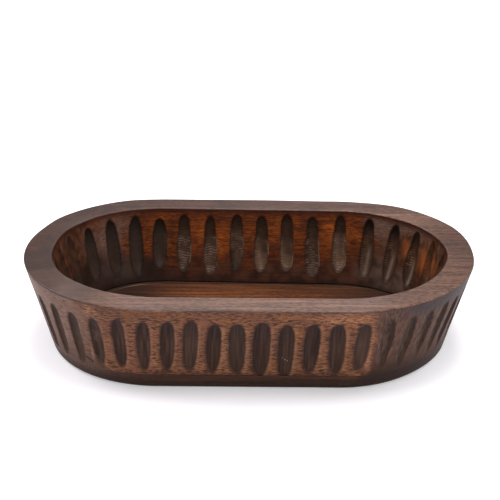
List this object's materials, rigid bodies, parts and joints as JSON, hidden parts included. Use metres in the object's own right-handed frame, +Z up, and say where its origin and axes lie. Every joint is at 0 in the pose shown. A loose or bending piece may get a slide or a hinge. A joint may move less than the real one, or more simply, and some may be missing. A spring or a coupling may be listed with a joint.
{
  "type": "long wooden bowl",
  "caption": "Long flat-bottomed wooden bowl with half-round ends, flared walls, a broad flat rim and upright gouge cuts outside and inside.",
  "frame": {"origin": "middle of the flat underside, on the surface that the bowl stands on", "axes": "+X along the bowl's length, +Y across its width, +Z up out of its mouth"},
  "size_m": [0.38, 0.23, 0.081],
  "materials": {
    "wall_wood": "stained and waxed, satin; the gouge cuts are stained near black",
    "board_wood": "stained dark and waxed, satin"
  },
  "bodies": {
    "root": {"wall_ring": "wall_wood", "base_board": "board_wood"}
  },
  "joints": []
}
